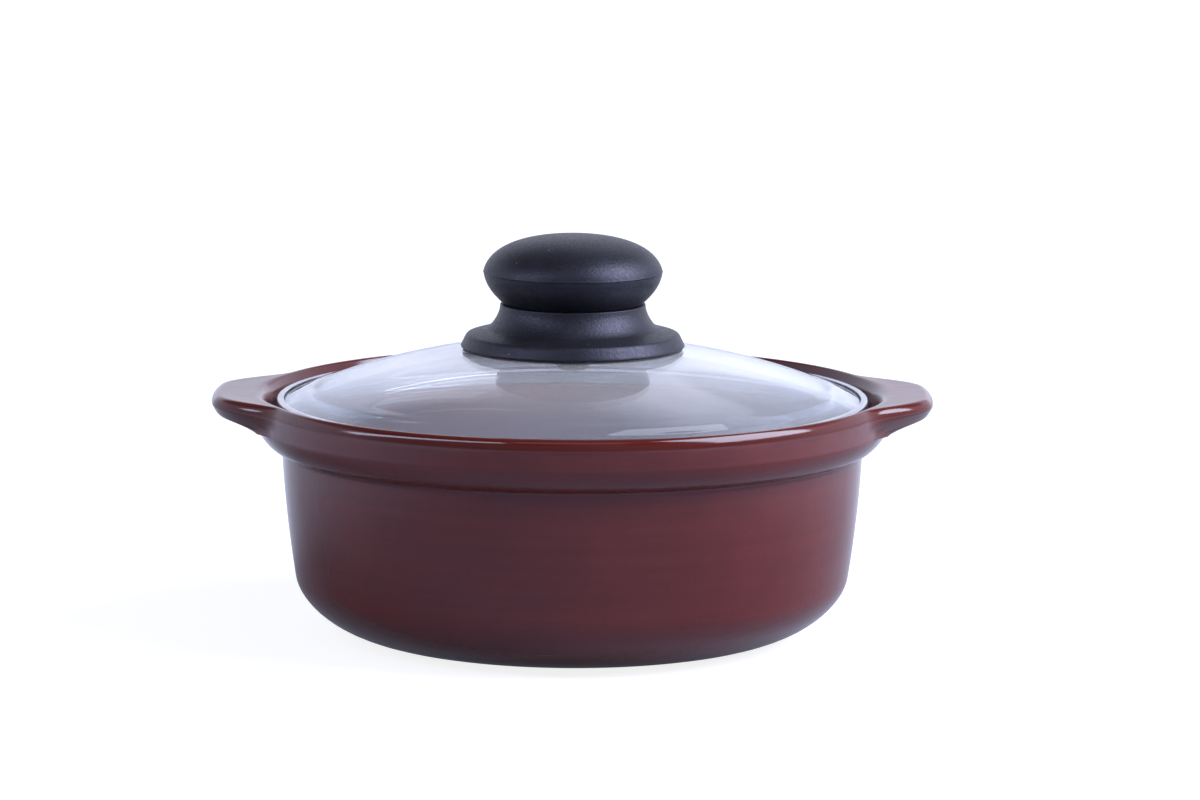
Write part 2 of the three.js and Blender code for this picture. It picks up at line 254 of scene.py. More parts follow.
def sweep(profile, first_handle, last_handle, end, steps=curve_steps):
    curve(profile, (first_handle, last_handle), end, steps)


def follow_dome(profile, surface, from_radius, to_radius, steps):
    for i in range(steps + 1):
        radius = from_radius + (to_radius - from_radius) * i / steps
        profile.append((radius, surface(radius)))


# Modelling

def start_profile(name):
    """A new piece in edit mode, with one vertex at the origin."""
    bpy.ops.object.select_all(action="DESELECT")
    bpy.ops.mesh.primitive_plane_add(size=MM)
    piece = bpy.context.object
    piece.name = name
    piece.data.name = name
    bpy.ops.object.mode_set(mode="EDIT")
    bpy.ops.mesh.select_all(action="SELECT")
    bpy.ops.mesh.merge(type="CENTER")
    return piece


def draw_profile(profile):
    """Moves the vertex to the first point of a profile and extrudes it along the others."""
    at_radius, at_height = 0, 0
    for point, (radius, height) in enumerate(profile):
        step = ((radius - at_radius) * MM, 0, (height - at_height) * MM)
        if point == 0:
            bpy.ops.transform.translate(value=step)
        else:
            bpy.ops.mesh.extrude_region_move(TRANSFORM_OT_translate={"value": step})
        at_radius, at_height = radius, height


def spin_quarter(columns):
    """Spins the drawn profile a quarter turn about the Z axis, from +X to +Y."""
    bpy.ops.mesh.select_all(action="SELECT")
    bpy.ops.mesh.spin(
        steps=columns // 4, angle=math.pi / 2, center=(0, 0, 0), axis=(0, 0, 1)
    )
    weld()


def weld():
    bpy.ops.mesh.select_all(action="SELECT")
    bpy.ops.mesh.remove_doubles(threshold=weld_gap * MM)


def mirror_quarter(piece):
    """Mirrors a quarter piece over both upright planes and points its faces outwards."""
    bpy.ops.object.mode_set(mode="OBJECT")
    mirror = piece.modifiers.new("Mirror", "MIRROR")
    mirror.use_axis = (True, True, False)
    mirror.use_mirror_merge = True
    mirror.merge_threshold = weld_gap * MM
    bpy.ops.object.modifier_apply(modifier=mirror.name)
    face_outwards()


def face_outwards():
    """Welds the active piece and points its faces outwards."""
    bpy.ops.object.mode_set(mode="EDIT")
    weld()
    bpy.ops.mesh.normals_make_consistent(inside=False)
    bpy.ops.object.mode_set(mode="OBJECT")


def pick(piece):
    bpy.ops.object.select_all(action="DESELECT")
    piece.select_set(True)
    bpy.context.view_layer.objects.active = piece


def smooth(piece, sharper_than=40):
    """Shades a piece smooth, but for edges sharper than that many degrees."""
    pick(piece)
    bpy.ops.object.shade_smooth_by_angle(angle=math.radians(sharper_than))


def turned(name, profile, columns):
    """A piece turned about the Z axis from its profile."""
    piece = start_profile(name)
    draw_profile(profile)
    spin_quarter(columns)
    mirror_quarter(piece)
    smooth(piece)
    return piece


def combine(piece, tool, operation):
    """Joins a second solid to a piece, or cuts it out, and takes the second one away."""
    pick(piece)
    boolean = piece.modifiers.new("Combine", "BOOLEAN")
    boolean.operation = operation
    boolean.solver = "EXACT"
    boolean.object = tool
    bpy.ops.object.modifier_apply(modifier=boolean.name)
    bpy.data.objects.remove(tool)
    face_outwards()


def block(name, size, place, turn):
    """A box of that size whose place is turned about the Z axis."""
    bpy.ops.object.select_all(action="DESELECT")
    bpy.ops.mesh.primitive_cube_add(size=1)
    piece = bpy.context.object
    piece.name = name
    bpy.ops.object.mode_set(mode="EDIT")
    bpy.ops.mesh.select_all(action="SELECT")
    bpy.ops.transform.resize(value=[side * MM for side in size])
    bpy.ops.transform.translate(value=[step * MM for step in place])
    bpy.ops.transform.rotate(value=-turn, orient_axis="Z", center_override=(0, 0, 0))
    bpy.ops.object.mode_set(mode="OBJECT")
    return piece


# Pot

def drawn_out(angle, tip_width, root_width):
    """How far a lug is drawn out at an angle: 1 along its tip, and gently 0 at its root."""
    tip = math.asin(tip_width / 2 / (rim_radius + lug_reach))
    root = math.asin(root_width / 2 / rim_radius)
    bearing = math.asin(min(1, abs(math.sin(angle))))
    return 1 - ease(min(1, max(0, (bearing - tip) / (root - tip))))


collar_radius = rim_radius - collar_lean
collar_z = shoulder_z + collar_undercut
collar_start = shoulder_radius + collar_fillet
lug_root_z = pot_height - lug_root_thickness
lug_join_z = lug_root_z - lug_fillet
lug_tip_z = pot_height + lug_rise - lug_tip_thickness


def collar_face(z):
    """Radius of the collar's outside: rounded below, upright with a slight lean above."""
    if z < collar_z:
        drop = min(1, (collar_z - z) / collar_undercut)
        share = (1 - drop ** collar_fullness) ** (1 / collar_fullness)
        return collar_start + (collar_radius - collar_start) * share
    share = (z - collar_z) / (pot_height - rim_drop - collar_z)
    return collar_radius + collar_lean * min(1, share)


def under_collar(section, steps):
    """Follows the collar's rounded underside up to where the lugs grow out of it."""
    last_turn = math.acos(min(1, max(0, (collar_z - lug_join_z) / collar_undercut)))
    for i in range(1, steps + 1):
        z = collar_z - collar_undercut * math.cos(last_turn * i / steps)
        section.append((collar_face(z), z))


def under_lug(section, drawn, nose_radius, nose_z):
    """Follows the underside of a lug, a shelf that stands out from the collar by its reach."""
    reach = lug_low_reach * drawn
    under_z = lug_root_z + lug_fade + (lug_tip_z - lug_root_z - lug_fade) * drawn
    shelf = [(0, lug_join_z)]
    bend(shelf, (0, lug_root_z), (min(lug_fillet, reach / 2), lug_root_z))
    straight(shelf, (reach - min(lug_low_edge, reach / 2), under_z), steps=4)
    edge_z = under_z + lug_low_edge
    flare = (nose_radius - collar_face(edge_z) - reach) * lug_low_edge / (nose_z - edge_z)
    flare *= min(1, drawn / lug_flare_onset)
    bend(shelf, (reach - flare, under_z), (reach, edge_z))
    section.extend((collar_face(z) + out, z) for out, z in shelf[1:])


def pot_section(drawn, low):
    """The wall cut at one angle, from the base up the outside and down the inside."""
    taper = wall_taper / wall_height
    bulge = 4 * wall_bulge / wall_height  # slope that the bulge adds at the wall's foot
    heel_top = heel_height * heel_ease
    wall_top_z = shoulder_z - collar_fillet
    nose_radius = rim_radius + lug_reach * drawn
    top_z = pot_height + lug_rise * drawn
    edge = rim_rounding + (lug_top_edge - rim_rounding) * drawn
    drop = rim_drop + (lug_top_edge - rim_drop) * drawn
    lip = rim_lip + (lug_lip - rim_lip) * drawn
    land_radius = gallery_top_radius + lip
    lip_radius = gallery_top_radius - gallery_flare * lip / (gallery_depth - gallery_fillet)
    foot_radius = wall_foot_radius - wall_thickness
    floor_radius = base_radius - wall_thickness / 2
    inner_heel_z = heel_height + floor_thickness / 2

    section = [(0, 0)]
    straight(section, (base_radius - base_border, 0), steps=6)
    straight(section, (base_radius, 0), steps=2)
    sweep(
        section,
        (base_radius + heel_width * heel_fullness, 0),
        (wall_foot_radius - (taper + bulge) * heel_top, heel_height - heel_top),
        (wall_foot_radius, heel_height),
        steps=broad_steps,
    )
    wall_middle_radius = (wall_foot_radius + shoulder_radius) / 2
    bend(
        section,
        (wall_middle_radius + 2 * wall_bulge, (heel_height + wall_top_z) / 2),
        (shoulder_radius, wall_top_z),
        steps=wall_steps,
    )
    bend(section, (shoulder_radius, shoulder_z), (collar_start, shoulder_z))
    under_collar(section, curve_steps)
    under_lug(section, low, nose_radius, top_z - drop)
    straight(section, (nose_radius, top_z - drop), steps=4)
    sweep(
        section,
        (nose_radius, top_z - drop + drop * round_handle),
        (nose_radius - edge + edge * round_handle, top_z),
        (nose_radius - edge, top_z),
    )
    bend(
        section,
        ((nose_radius - edge + land_radius) / 2, pot_height),
        (land_radius, pot_height),
        steps=curve_steps,
    )
    bend(section, (gallery_top_radius, pot_height), (lip_radius, pot_height - lip))
    straight(section, (gallery_floor_radius, seat_z + gallery_fillet), steps=3)
    bend(section, (gallery_floor_radius, seat_z), (gallery_floor_radius - gallery_fillet, seat_z))
    straight(section, (mouth_radius + ledge_rounding, seat_z), steps=3)
    bend(section, (mouth_radius, seat_z), (mouth_radius, seat_z - ledge_rounding))
    straight(section, (foot_radius, inner_heel_z), steps=wall_steps)
    sweep(
        section,
        (foot_radius - taper * heel_top, inner_heel_z - heel_top),
        (floor_radius + (foot_radius - floor_radius) * round_handle, floor_thickness),
        (floor_radius, floor_thickness),
        steps=broad_steps,
    )
    straight(section, (0, floor_thickness), steps=8)
    return section


def draw_out_lugs(pot):
    """Pulls each column of the spun quarter to the section that the lug has at its angle."""
    plain = np.array(pot_section(0, 0)) * MM
    sections = {}
    for vertex in pot.data.vertices:
        x, y, z = vertex.co
        angle = math.atan2(y, x)
        drawn = drawn_out(angle, lug_tip_width, lug_root_width)
        radius = math.hypot(x, y)
        if drawn == 0 or radius < mouth_radius * MM:
            continue
        column = round(angle * pot_columns / (2 * math.pi))
        if column not in sections:
            low = drawn_out(angle, lug_low_tip_width, lug_low_root_width)
            sections[column] = np.array(pot_section(drawn, low)) * MM
        row = int(np.argmin(np.hypot(plain[:, 0] - radius, plain[:, 1] - z)))
        new_radius, new_z = sections[column][row]
        vertex.co = (math.cos(angle) * new_radius, math.sin(angle) * new_radius, new_z)


def make_pot():
    pot = start_profile("pot")
    draw_profile(pot_section(0, 0))
    spin_quarter(pot_columns)
    bpy.ops.object.mode_set(mode="OBJECT")
    draw_out_lugs(pot)
    mirror_quarter(pot)
    smooth(pot, sharper_than=75)
    return pot


# Lid

def pressed_edge(radius):
    """The dome's outside, with the slight swell that pressing leaves inside the edge."""
    if radius > edge_swell_crest:
        share = max(0, (edge_swell_end - radius) / (edge_swell_end - edge_swell_crest))
        return over_glass(radius) + edge_swell * share
    share = max(0, (radius - edge_swell_start) / (edge_swell_crest - edge_swell_start))
    return over_glass(radius) + edge_swell * ease(share)


def make_lid_dome():
    edge = glass_edge_rounding
    edge_top_z = over_glass(glass_radius)
    top_radius = glass_radius - edge
    border = 1.0
    swell_from = edge_swell_start - border
    profile = []
    follow_dome(profile, under_glass, glass_hole_radius + edge, top_radius, steps=36)
    bend(profile, (glass_radius, under_glass(glass_radius)), (glass_radius, glass_edge_z + edge))
    straight(profile, (glass_radius, edge_top_z - edge), steps=2)
    bend(profile, (glass_radius, edge_top_z), (top_radius, over_glass(top_radius)))
    follow_dome(profile, pressed_edge, top_radius - row_gap, swell_from, steps=30)
    follow_dome(profile, over_glass, swell_from - border, glass_hole_radius + edge, steps=32)
    hole_top_z = over_glass(glass_hole_radius)
    hole_bottom_z = under_glass(glass_hole_radius)
    bend(profile, (glass_hole_radius, hole_top_z), (glass_hole_radius, hole_top_z - edge))
    straight(profile, (glass_hole_radius, hole_bottom_z + edge), steps=2)
    bend(profile, (glass_hole_radius, hole_bottom_z), profile[0])
    return turned("lid_dome", profile, lid_columns)


def make_lid_band():
    """Rolled sheet round the edge of the glass, with its folds rounded."""
    wall_radius = lid_radius - band_sheet
    lip_radius = lid_radius - band_flange
    foot_radius = lid_radius - band_foot
    top, bottom, sheet = band_top_z, band_bottom_z, band_sheet
    inner_bottom = bottom + sheet
    fold, inner_fold = band_fold, band_fold - band_sheet
    hem = sheet / 2
    profile = [(foot_radius + hem, bottom)]
    straight(profile, (lid_radius - fold, bottom), steps=3)
    bend(profile, (lid_radius, bottom), (lid_radius, bottom + fold))
    straight(profile, (lid_radius, top - fold), steps=4)
    bend(profile, (lid_radius, top), (lid_radius - fold, top))
    straight(profile, (lip_radius + hem, top), steps=2)
    bend(profile, (lip_radius, top), (lip_radius, top - hem), steps=4)
    bend(profile, (lip_radius, top - sheet), (lip_radius + hem, top - sheet), steps=4)
    straight(profile, (wall_radius - inner_fold, top - sheet), steps=2)
    bend(profile, (wall_radius, top - sheet), (wall_radius, top - sheet - inner_fold), steps=4)
    straight(profile, (wall_radius, inner_bottom + inner_fold), steps=4)
    bend(profile, (wall_radius, inner_bottom), (wall_radius - inner_fold, inner_bottom), steps=4)
    straight(profile, (foot_radius + hem, inner_bottom), steps=3)
    bend(profile, (foot_radius, inner_bottom), (foot_radius, bottom + hem), steps=4)
    bend(profile, (foot_radius, bottom), (foot_radius + hem, bottom), steps=4)
    return turned("lid_band", profile, lid_columns)


# Knob

def make_grip():
    cone_fullness = 0.51
    cone_inset = 0.5
    side_fullness = 0.30
    side_inset = 0.7
    top_fullness = 0.84
    corner = 0.05
    pocket_radius = insert_radius + fit_gap
    pocket_top_z = insert_bottom_z + insert_length + fit_gap
    edge = 0.4
    joint_radius = neck_radius - 2 * seam_step
    joint_z = seam_z + face_gap
    profile = [(0, pocket_top_z)]
    straight(profile, (pocket_radius, pocket_top_z), steps=2)
    straight(profile, (pocket_radius, spigot_bottom_z + edge), steps=3)
    straight(profile, (pocket_radius + edge, spigot_bottom_z))
    straight(profile, (spigot_radius - edge, spigot_bottom_z))
    bend(
        profile,
        (spigot_radius, spigot_bottom_z),
        (spigot_radius, spigot_bottom_z + edge),
        steps=4,
    )
    straight(profile, (spigot_radius, joint_z - corner), steps=3)
    straight(profile, (spigot_radius + corner, joint_z))
    straight(profile, (joint_radius - edge, joint_z), steps=4)
    bend(profile, (joint_radius, joint_z), (joint_radius + edge / 2, joint_z + edge), steps=4)
    bend(
        profile,
        (grip_radius - cone_inset, seam_z + grip_cone_height * cone_fullness),
        (grip_radius - corner, grip_crease_z - parting_line),
        steps=broad_steps,
    )
    straight(profile, (grip_radius + parting_line / 2, grip_crease_z))
    straight(profile, (grip_radius, grip_crease_z + parting_line))
    sweep(
        profile,
        (grip_radius - side_inset, grip_crease_z + grip_cap_rise * side_fullness),
        (grip_radius * top_fullness, knob_top_z),
        (0, knob_top_z),
        steps=2 * broad_steps,
    )
    return turned("grip", profile, knob_columns)


def skirt_top(radius):
    """Height of the skirt's sloping top between its edge and the flare of the neck."""
    share = (skirt_edge_radius - radius) / (skirt_edge_radius - flare_radius)
    return skirt_edge_z + (skirt_foot_z - skirt_edge_z) * share


def skirt_hollow():
    """The space between the skirt's wall and the hub round the screw, parted by ribs."""
    hub_wall = hub_radius + skirt_wall
    neck_wall = neck_radius - skirt_wall
    ceiling_z = seam_z - skirt_crown
    floor_z = over_glass(skirt_radius)
    profile = [(hub_wall, floor_z)]
    straight(profile, (foot_wall, floor_z), steps=4)
    straight(profile, (foot_wall, skirt_top(foot_wall) - skirt_wall), steps=2)
    straight(profile, (flare_radius, skirt_foot_z - skirt_wall), steps=2)
    bend(
        profile,
        (neck_wall, skirt_foot_z - skirt_wall),
        (neck_wall, ceiling_z),
        steps=curve_steps,
    )
    straight(profile, (hub_wall, ceiling_z), steps=3)
    straight(profile, profile[0], steps=4)
    hollow = turned("hollow", profile, knob_columns)
    rib_height = skirt_height - skirt_foot_height / 2
    for rib_number in range(rib_count):
        rib = block(
            "rib",
            (skirt_radius, rib_thickness, rib_height),
            (skirt_radius / 2, 0, seam_z - rib_height / 2),
            2 * math.pi * (rib_number + 0.5) / rib_count,
        )
        combine(hollow, rib, "DIFFERENCE")
    return hollow


def make_skirt():
    flare_height = seam_z - seam_step - skirt_foot_z
    wide, low, high = 0.58, 0.03, 0.63  # places of the flare's handles, as shares of its size
    hub_bottom_z = over_glass(0) + fit_gap
    lip_top_radius = skirt_edge_radius - skirt_lip
    profile = [(hub_radius, hub_bottom_z)]
    straight(profile, (hub_radius + 2 * skirt_wall, hub_bottom_z), steps=3)
    straight(profile, (foot_wall, on_ring(foot_wall)), steps=4)
    follow_dome(profile, on_ring, foot_wall + 2 * row_gap, skirt_radius - skirt_lip, steps=4)
    bend(
        profile,
        (skirt_radius, on_ring(skirt_radius)),
        (skirt_radius - skirt_lip_lean, skirt_bottom_z + skirt_lip),
    )
    straight(profile, (skirt_edge_radius + skirt_lip, skirt_edge_z - 2 * skirt_lip), steps=4)
    bend(profile, (skirt_edge_radius, skirt_edge_z), (lip_top_radius, skirt_top(lip_top_radius)))
    straight(profile, (flare_radius, skirt_foot_z), steps=4)
    sweep(
        profile,
        (neck_radius + skirt_flare * wide, skirt_foot_z + flare_height * low),
        (neck_radius, skirt_foot_z + flare_height * high),
        (neck_radius, seam_z - seam_step),
        steps=broad_steps,
    )
    bend(profile, (neck_radius, seam_z), (neck_radius - seam_step, seam_z), steps=4)
    straight(profile, (hub_radius, seam_z), steps=4)
    straight(profile, profile[0], steps=4)
    skirt = turned("skirt", profile, knob_columns)
    combine(skirt, skirt_hollow(), "DIFFERENCE")
    smooth(skirt)
    return skirt


# Fixing

def make_screw():
    head_round = 0.6
    edge = 0.2
    valley_start, valley_end, crest_start = 0.45, 0.55, 0.95
    root_radius = screw_radius - thread_depth
    profile = [(0, head_bottom_z)]
    straight(profile, (screw_head_radius * head_round, head_bottom_z), steps=3)
    bend(
        profile,
        (screw_head_radius, head_bottom_z),
        (screw_head_radius, head_bottom_z + screw_head_height * head_round),
        steps=curve_steps,
    )
    straight(profile, (screw_head_radius, head_top_z - edge))
    straight(profile, (screw_head_radius - edge, head_top_z))
    straight(profile, (screw_radius, head_top_z), steps=2)
    straight(profile, (screw_radius, insert_bottom_z), steps=2)
    turns = int((screw_top_z - screw_radius / 2 - insert_bottom_z) / thread_pitch)
    for turn in range(turns):
        foot_z = insert_bottom_z + turn * thread_pitch
        straight(profile, (root_radius, foot_z + thread_pitch * valley_start))
        straight(profile, (root_radius, foot_z + thread_pitch * valley_end))
        straight(profile, (screw_radius, foot_z + thread_pitch * crest_start))
        straight(profile, (screw_radius, foot_z + thread_pitch))
    straight(profile, (screw_radius / 2, screw_top_z))
    straight(profile, (0, screw_top_z))
    screw = turned("screw", profile, small_columns)
    size = (screw_head_radius * recess_share, recess_width, 2 * recess_depth)
    cross, bar = (block("recess", size, (0, 0, head_bottom_z), turn) for turn in (0, math.pi / 2))
    combine(cross, bar, "UNION")
    combine(screw, cross, "DIFFERENCE")
    smooth(screw)
    return screw


def make_washer():
    edge = washer_thickness / 2
    top_z = washer_bottom_z + washer_thickness
    nick = 0.15
    profile = [(bore_radius + nick, washer_bottom_z)]
    straight(profile, (washer_radius - edge, washer_bottom_z), steps=2)
    bend(profile, (washer_radius, washer_bottom_z), (washer_radius, washer_bottom_z + edge))
    straight(profile, (washer_radius, top_z - nick))
    straight(profile, (washer_radius - nick, top_z))
    straight(profile, (bore_radius + nick, top_z), steps=2)
    straight(profile, (bore_radius, top_z - nick))
    straight(profile, (bore_radius, washer_bottom_z + nick))
    straight(profile, profile[0])
    return turned("washer", profile, small_columns)


def make_gasket():
    """A soft disc against the glass, whose sleeve lines the hole."""
    edge = gasket_thickness / 3
    sleeve_radius = bore_radius + sleeve_wall
    sleeve_top_z = over_glass(0) - face_gap

    def against_glass(radius):
        return under_glass(radius) - face_gap

    profile = [(bore_radius, gasket_bottom_z)]
    straight(profile, (gasket_radius - edge, gasket_bottom_z), steps=3)
    bend(profile, (gasket_radius, gasket_bottom_z), (gasket_radius, gasket_bottom_z + edge))
    straight(profile, (gasket_radius, against_glass(gasket_radius)))
    follow_dome(profile, against_glass, gasket_radius - row_gap, sleeve_radius, steps=6)
    straight(profile, (sleeve_radius, sleeve_top_z), steps=2)
    straight(profile, (bore_radius, sleeve_top_z))
    straight(profile, profile[0], steps=2)
    return turned("gasket", profile, small_columns)


def make_ring():
    """A soft ring between the foot of the skirt and the glass."""
    outer_radius = skirt_radius - ring_inset
    inner_radius = outer_radius - ring_width
    edge = ring_thickness / 2

    def lower(radius):
        return over_glass(radius) + face_gap

    def upper(radius):
        return over_glass(radius) + face_gap + ring_thickness

    profile = []
    follow_dome(profile, lower, inner_radius, outer_radius - edge, steps=6)
    low_z, high_z = lower(outer_radius), upper(outer_radius)
    top_radius = outer_radius - edge
    bend(profile, (outer_radius, low_z), (outer_radius, low_z + edge), steps=4)
    bend(profile, (outer_radius, high_z), (top_radius, upper(top_radius)), steps=4)
    follow_dome(profile, upper, top_radius - row_gap, inner_radius, steps=6)
    straight(profile, profile[0])
    return turned("ring", profile, knob_columns)


# Finishes

def fill_in(tree, node, inputs):
    """Sets a node's inputs to values, or joins them to sockets."""
    for name, value in inputs.items():
        if isinstance(value, bpy.types.NodeSocket):
            tree.links.new(value, node.inputs[name])
        else:
            node.inputs[name].default_value = value


def add(tree, kind, inputs=None, **settings):
    """Adds a node with its settings and its inputs."""
    made = tree.nodes.new("ShaderNode" + kind)
    for name, value in settings.items():
        setattr(made, name, value)
    fill_in(tree, made, inputs or {})
    return made


def math_of(tree, operation, first, second=0.0):
    return add(tree, "Math", {0: first, 1: second}, operation=operation).outputs["Value"]


def scaled(tree, value, share):
    return math_of(tree, "MULTIPLY", value, share)


def noise_of(tree, place, scale, detail, roughness=0.5):
    """Soft noise with about that many patches to each unit of its place."""
    return add(
        tree,
        "TexNoise",
        {"Vector": place, "Scale": scale, "Detail": detail, "Roughness": roughness},
    ).outputs["Fac"]


def between(tree, value, low, high, to_low=0.0, to_high=1.0):
    """Spreads a value from one range to another, smoothly and held at the ends."""
    return add(
        tree,
        "MapRange",
        {"Value": value, 1: low, 2: high, 3: to_low, 4: to_high},
        interpolation_type="SMOOTHSTEP",
    ).outputs["Result"]


def blend_colours(tree, share, first, second):
    return add(
        tree, "MixRGB", {"Fac": share, "Color1": first, "Color2": second}
    ).outputs["Color"]


def bump_of(tree, height, depth, strength):
    """Normals of a surface whose relief is at most that many millimetres deep."""
    return add(
        tree, "Bump", {"Height": height, "Distance": depth * MM, "Strength": strength}
    ).outputs["Normal"]


def object_place(tree):
    return add(tree, "TexCoord").outputs["Object"]


def start_finish(name):
    finish = bpy.data.materials.new(name)
    finish.use_nodes = True
    tree = finish.node_tree
    return finish, tree, tree.nodes["Principled BSDF"]


def set_named(tree, node, **inputs):
    fill_in(tree, node, {name.replace("_", " "): value for name, value in inputs.items()})


def new_group(name, inputs, outputs):
    """A node group with named numbers as its inputs and outputs."""
    group = bpy.data.node_groups.new(name, "ShaderNodeTree")
    for title, value in inputs.items():
        socket = group.interface.new_socket(title, in_out="INPUT", socket_type="NodeSocketFloat")
        socket.default_value = value
    for title in outputs:
        group.interface.new_socket(title, in_out="OUTPUT", socket_type="NodeSocketFloat")
    entry = group.nodes.new("NodeGroupInput")
    leave = group.nodes.new("NodeGroupOutput")
    return group, entry.outputs, leave.inputs


def use_group(tree, group, **inputs):
    made = add(tree, "Group", node_tree=group)
    set_named(tree, made, **inputs)
    return made.outputs


def moulded_grain_group():
    """Fine grain of a moulded face, and the slow drift of its tone."""
    group, given, out = new_group(
        "moulded_grain", {"Grains per metre": 900, "Drift per metre": 60}, ["Height", "Tone"]
    )
    place = object_place(group)
    grain = noise_of(group, place, given["Grains per metre"], detail=3, roughness=0.6)
    drift = noise_of(group, place, given["Drift per metre"], detail=3, roughness=0.55)
    group.links.new(grain, out["Height"])
    group.links.new(between(group, drift, 0.3, 0.7), out["Tone"])
    return group


def turned_marks_group():
    """Fine lines that run round the axis of a turned or rolled piece."""
    group, given, out = new_group(
        "turned_marks", {"Lines per metre": 3000, "Length": 12}, ["Height"]
    )
    place = add(group, "SeparateXYZ", {"Vector": object_place(group)})
    x, y, z = place.outputs
    radius = math_of(group, "SQRT", math_of(
        group, "ADD", math_of(group, "MULTIPLY", x, x), math_of(group, "MULTIPLY", y, y)
    ))
    across = scaled(group, math_of(group, "ADD", radius, z), given["Lines per metre"])
    along = [
        scaled(group, math_of(group, "DIVIDE", side, radius), given["Length"]) for side in (x, y)
    ]
    lines = add(group, "CombineXYZ", {"X": along[0], "Y": along[1], "Z": across}).outputs["Vector"]
    group.links.new(noise_of(group, lines, 1, detail=3, roughness=0.6), out["Height"])
    return group


def settled_dust_group():
    """Sparse specks of dust, on what faces upwards."""
    group, given, out = new_group(
        "settled_dust", {"Specks per metre": 420, "Speck size": 0.09}, ["Mask"]
    )
    specks = add(
        group, "TexVoronoi", {"Vector": object_place(group), "Scale": given["Specks per metre"]}
    )
    near = math_of(group, "LESS_THAN", specks.outputs["Distance"], given["Speck size"])
    tint = add(group, "SeparateXYZ", {"Vector": specks.outputs["Color"]})
    share_left_out = 0.90
    chosen = math_of(group, "GREATER_THAN", tint.outputs["X"], share_left_out)
    facing = add(group, "SeparateXYZ", {"Vector": add(group, "NewGeometry").outputs["Normal"]})
    upward = between(group, facing.outputs["Z"], 0.05, 0.6)
    mask = math_of(group, "MULTIPLY", math_of(group, "MULTIPLY", near, chosen), upward)
    group.links.new(mask, out["Mask"])
    return group


moulded_grain = moulded_grain_group()
turned_marks = turned_marks_group()
settled_dust = settled_dust_group()


def glazed_clay():
    finish, tree, shader = start_finish("glazed_clay")
    place = object_place(tree)
    height = add(tree, "SeparateXYZ", {"Vector": place}).outputs["Z"]
    clouds = noise_of(tree, place, 38, detail=4, roughness=0.55)
    specks = noise_of(tree, place, 900, detail=2, roughness=0.6)
    stretched = add(tree, "Mapping", {"Vector": place, "Scale": (9, 9, 330)}).outputs["Vector"]
    rings = noise_of(tree, stretched, 1, detail=3)
    tone = math_of(tree, "ADD", scaled(tree, clouds, 0.6), scaled(tree, rings, 0.4))
    deep_glaze, light_glaze = (0.088, 0.0110, 0.0086, 1), (0.113, 0.0148, 0.0115, 1)
    glaze = blend_colours(tree, between(tree, tone, 0.32, 0.68), deep_glaze, light_glaze)
    fleck = (0.035, 0.008, 0.008, 1)
    flecked = blend_colours(tree, between(tree, specks, 0.62, 0.76, 0, 0.35), glaze, fleck)

    # Painted shade: the glaze is darker and redder over the rim and its top, with a wavy lower
    # edge
    rim_shade_wobble = noise_of(tree, place, 55, detail=3, roughness=0.6)
    rim_shade_line = math_of(tree, "ADD", height, scaled(tree, rim_shade_wobble, 4 * MM))
    rim_shade = between(tree, rim_shade_line, 71.6 * MM, 73.0 * MM)
    # Colour of the painted shade on the rim
    rim_shade_glaze = (0.080, 0.0085, 0.0050, 1)
    rim_shaded = blend_colours(tree, rim_shade, flecked, rim_shade_glaze)

    # The foot is bare clay
    glaze_line = math_of(tree, "ADD", height, scaled(tree, clouds, 0.6 * MM))
    bare = between(tree, glaze_line, 0.5 * MM, 0.8 * MM, 1, 0)
    dark_clay, pale_clay = (0.30, 0.135, 0.075, 1), (0.40, 0.20, 0.12, 1)
    clay = blend_colours(tree, specks, dark_clay, pale_clay)

    roughness = between(tree, clouds, 0.3, 0.7, 0.10, 0.15)
    ripple = noise_of(tree, place, 95, detail=1, roughness=0.4)
    peel = noise_of(tree, place, 620, detail=1, roughness=0.5)
    surface = math_of(tree, "ADD", ripple, scaled(tree, peel, 0.08))
    set_named(
        tree,
        shader,
        Base_Color=blend_colours(tree, bare, rim_shaded, clay),
        Roughness=math_of(tree, "ADD", roughness, scaled(tree, bare, 0.6)),
        IOR=1.5,
        Specular_IOR_Level=0.5,
        Specular_Tint=(0.86, 0.88, 1.0, 1),
        Normal=bump_of(tree, surface, depth=0.12, strength=0.6),
    )
    return finish


def lid_glass():
    finish, tree, shader = start_finish("lid_glass")
    place = object_place(tree)
    smear = noise_of(tree, place, 22, detail=3, roughness=0.6)
    waves = noise_of(tree, place, 14, detail=1, roughness=0.4)
    flat = add(tree, "VectorMath", {0: place, 1: (1, 1, 0)}, operation="MULTIPLY").outputs[0]
    out = add(tree, "VectorMath", {0: flat}, operation="LENGTH").outputs["Value"]
    clear = blend_colours(tree, smear, (0.94, 0.96, 1.0, 1), (0.98, 0.99, 1.0, 1))
    # Painted shade: the glass is darker towards its edge
    edge_shade = (0.66, 0.70, 0.78, 1)
    set_named(
        tree,
        shader,
        Base_Color=blend_colours(tree, between(tree, out, 0.05, 0.08), clear, edge_shade),
        Roughness=between(tree, smear, 0.45, 0.75, 0.0, 0.03),
        IOR=1.5,
        Transmission_Weight=0.90,
        Normal=bump_of(tree, waves, depth=0.05, strength=0.5),
    )

    # Lamps shine through the glass into the pot
    shade = add(tree, "BsdfTransparent", {"Color": (0.65, 0.65, 0.68, 1)}).outputs["BSDF"]
    from_lamp = add(tree, "LightPath").outputs["Is Shadow Ray"]
    seen = add(tree, "MixShader", {0: from_lamp, 1: shader.outputs["BSDF"], 2: shade})
    surface = tree.nodes["Material Output"].inputs["Surface"]
    tree.links.new(seen.outputs["Shader"], surface)
    return finish


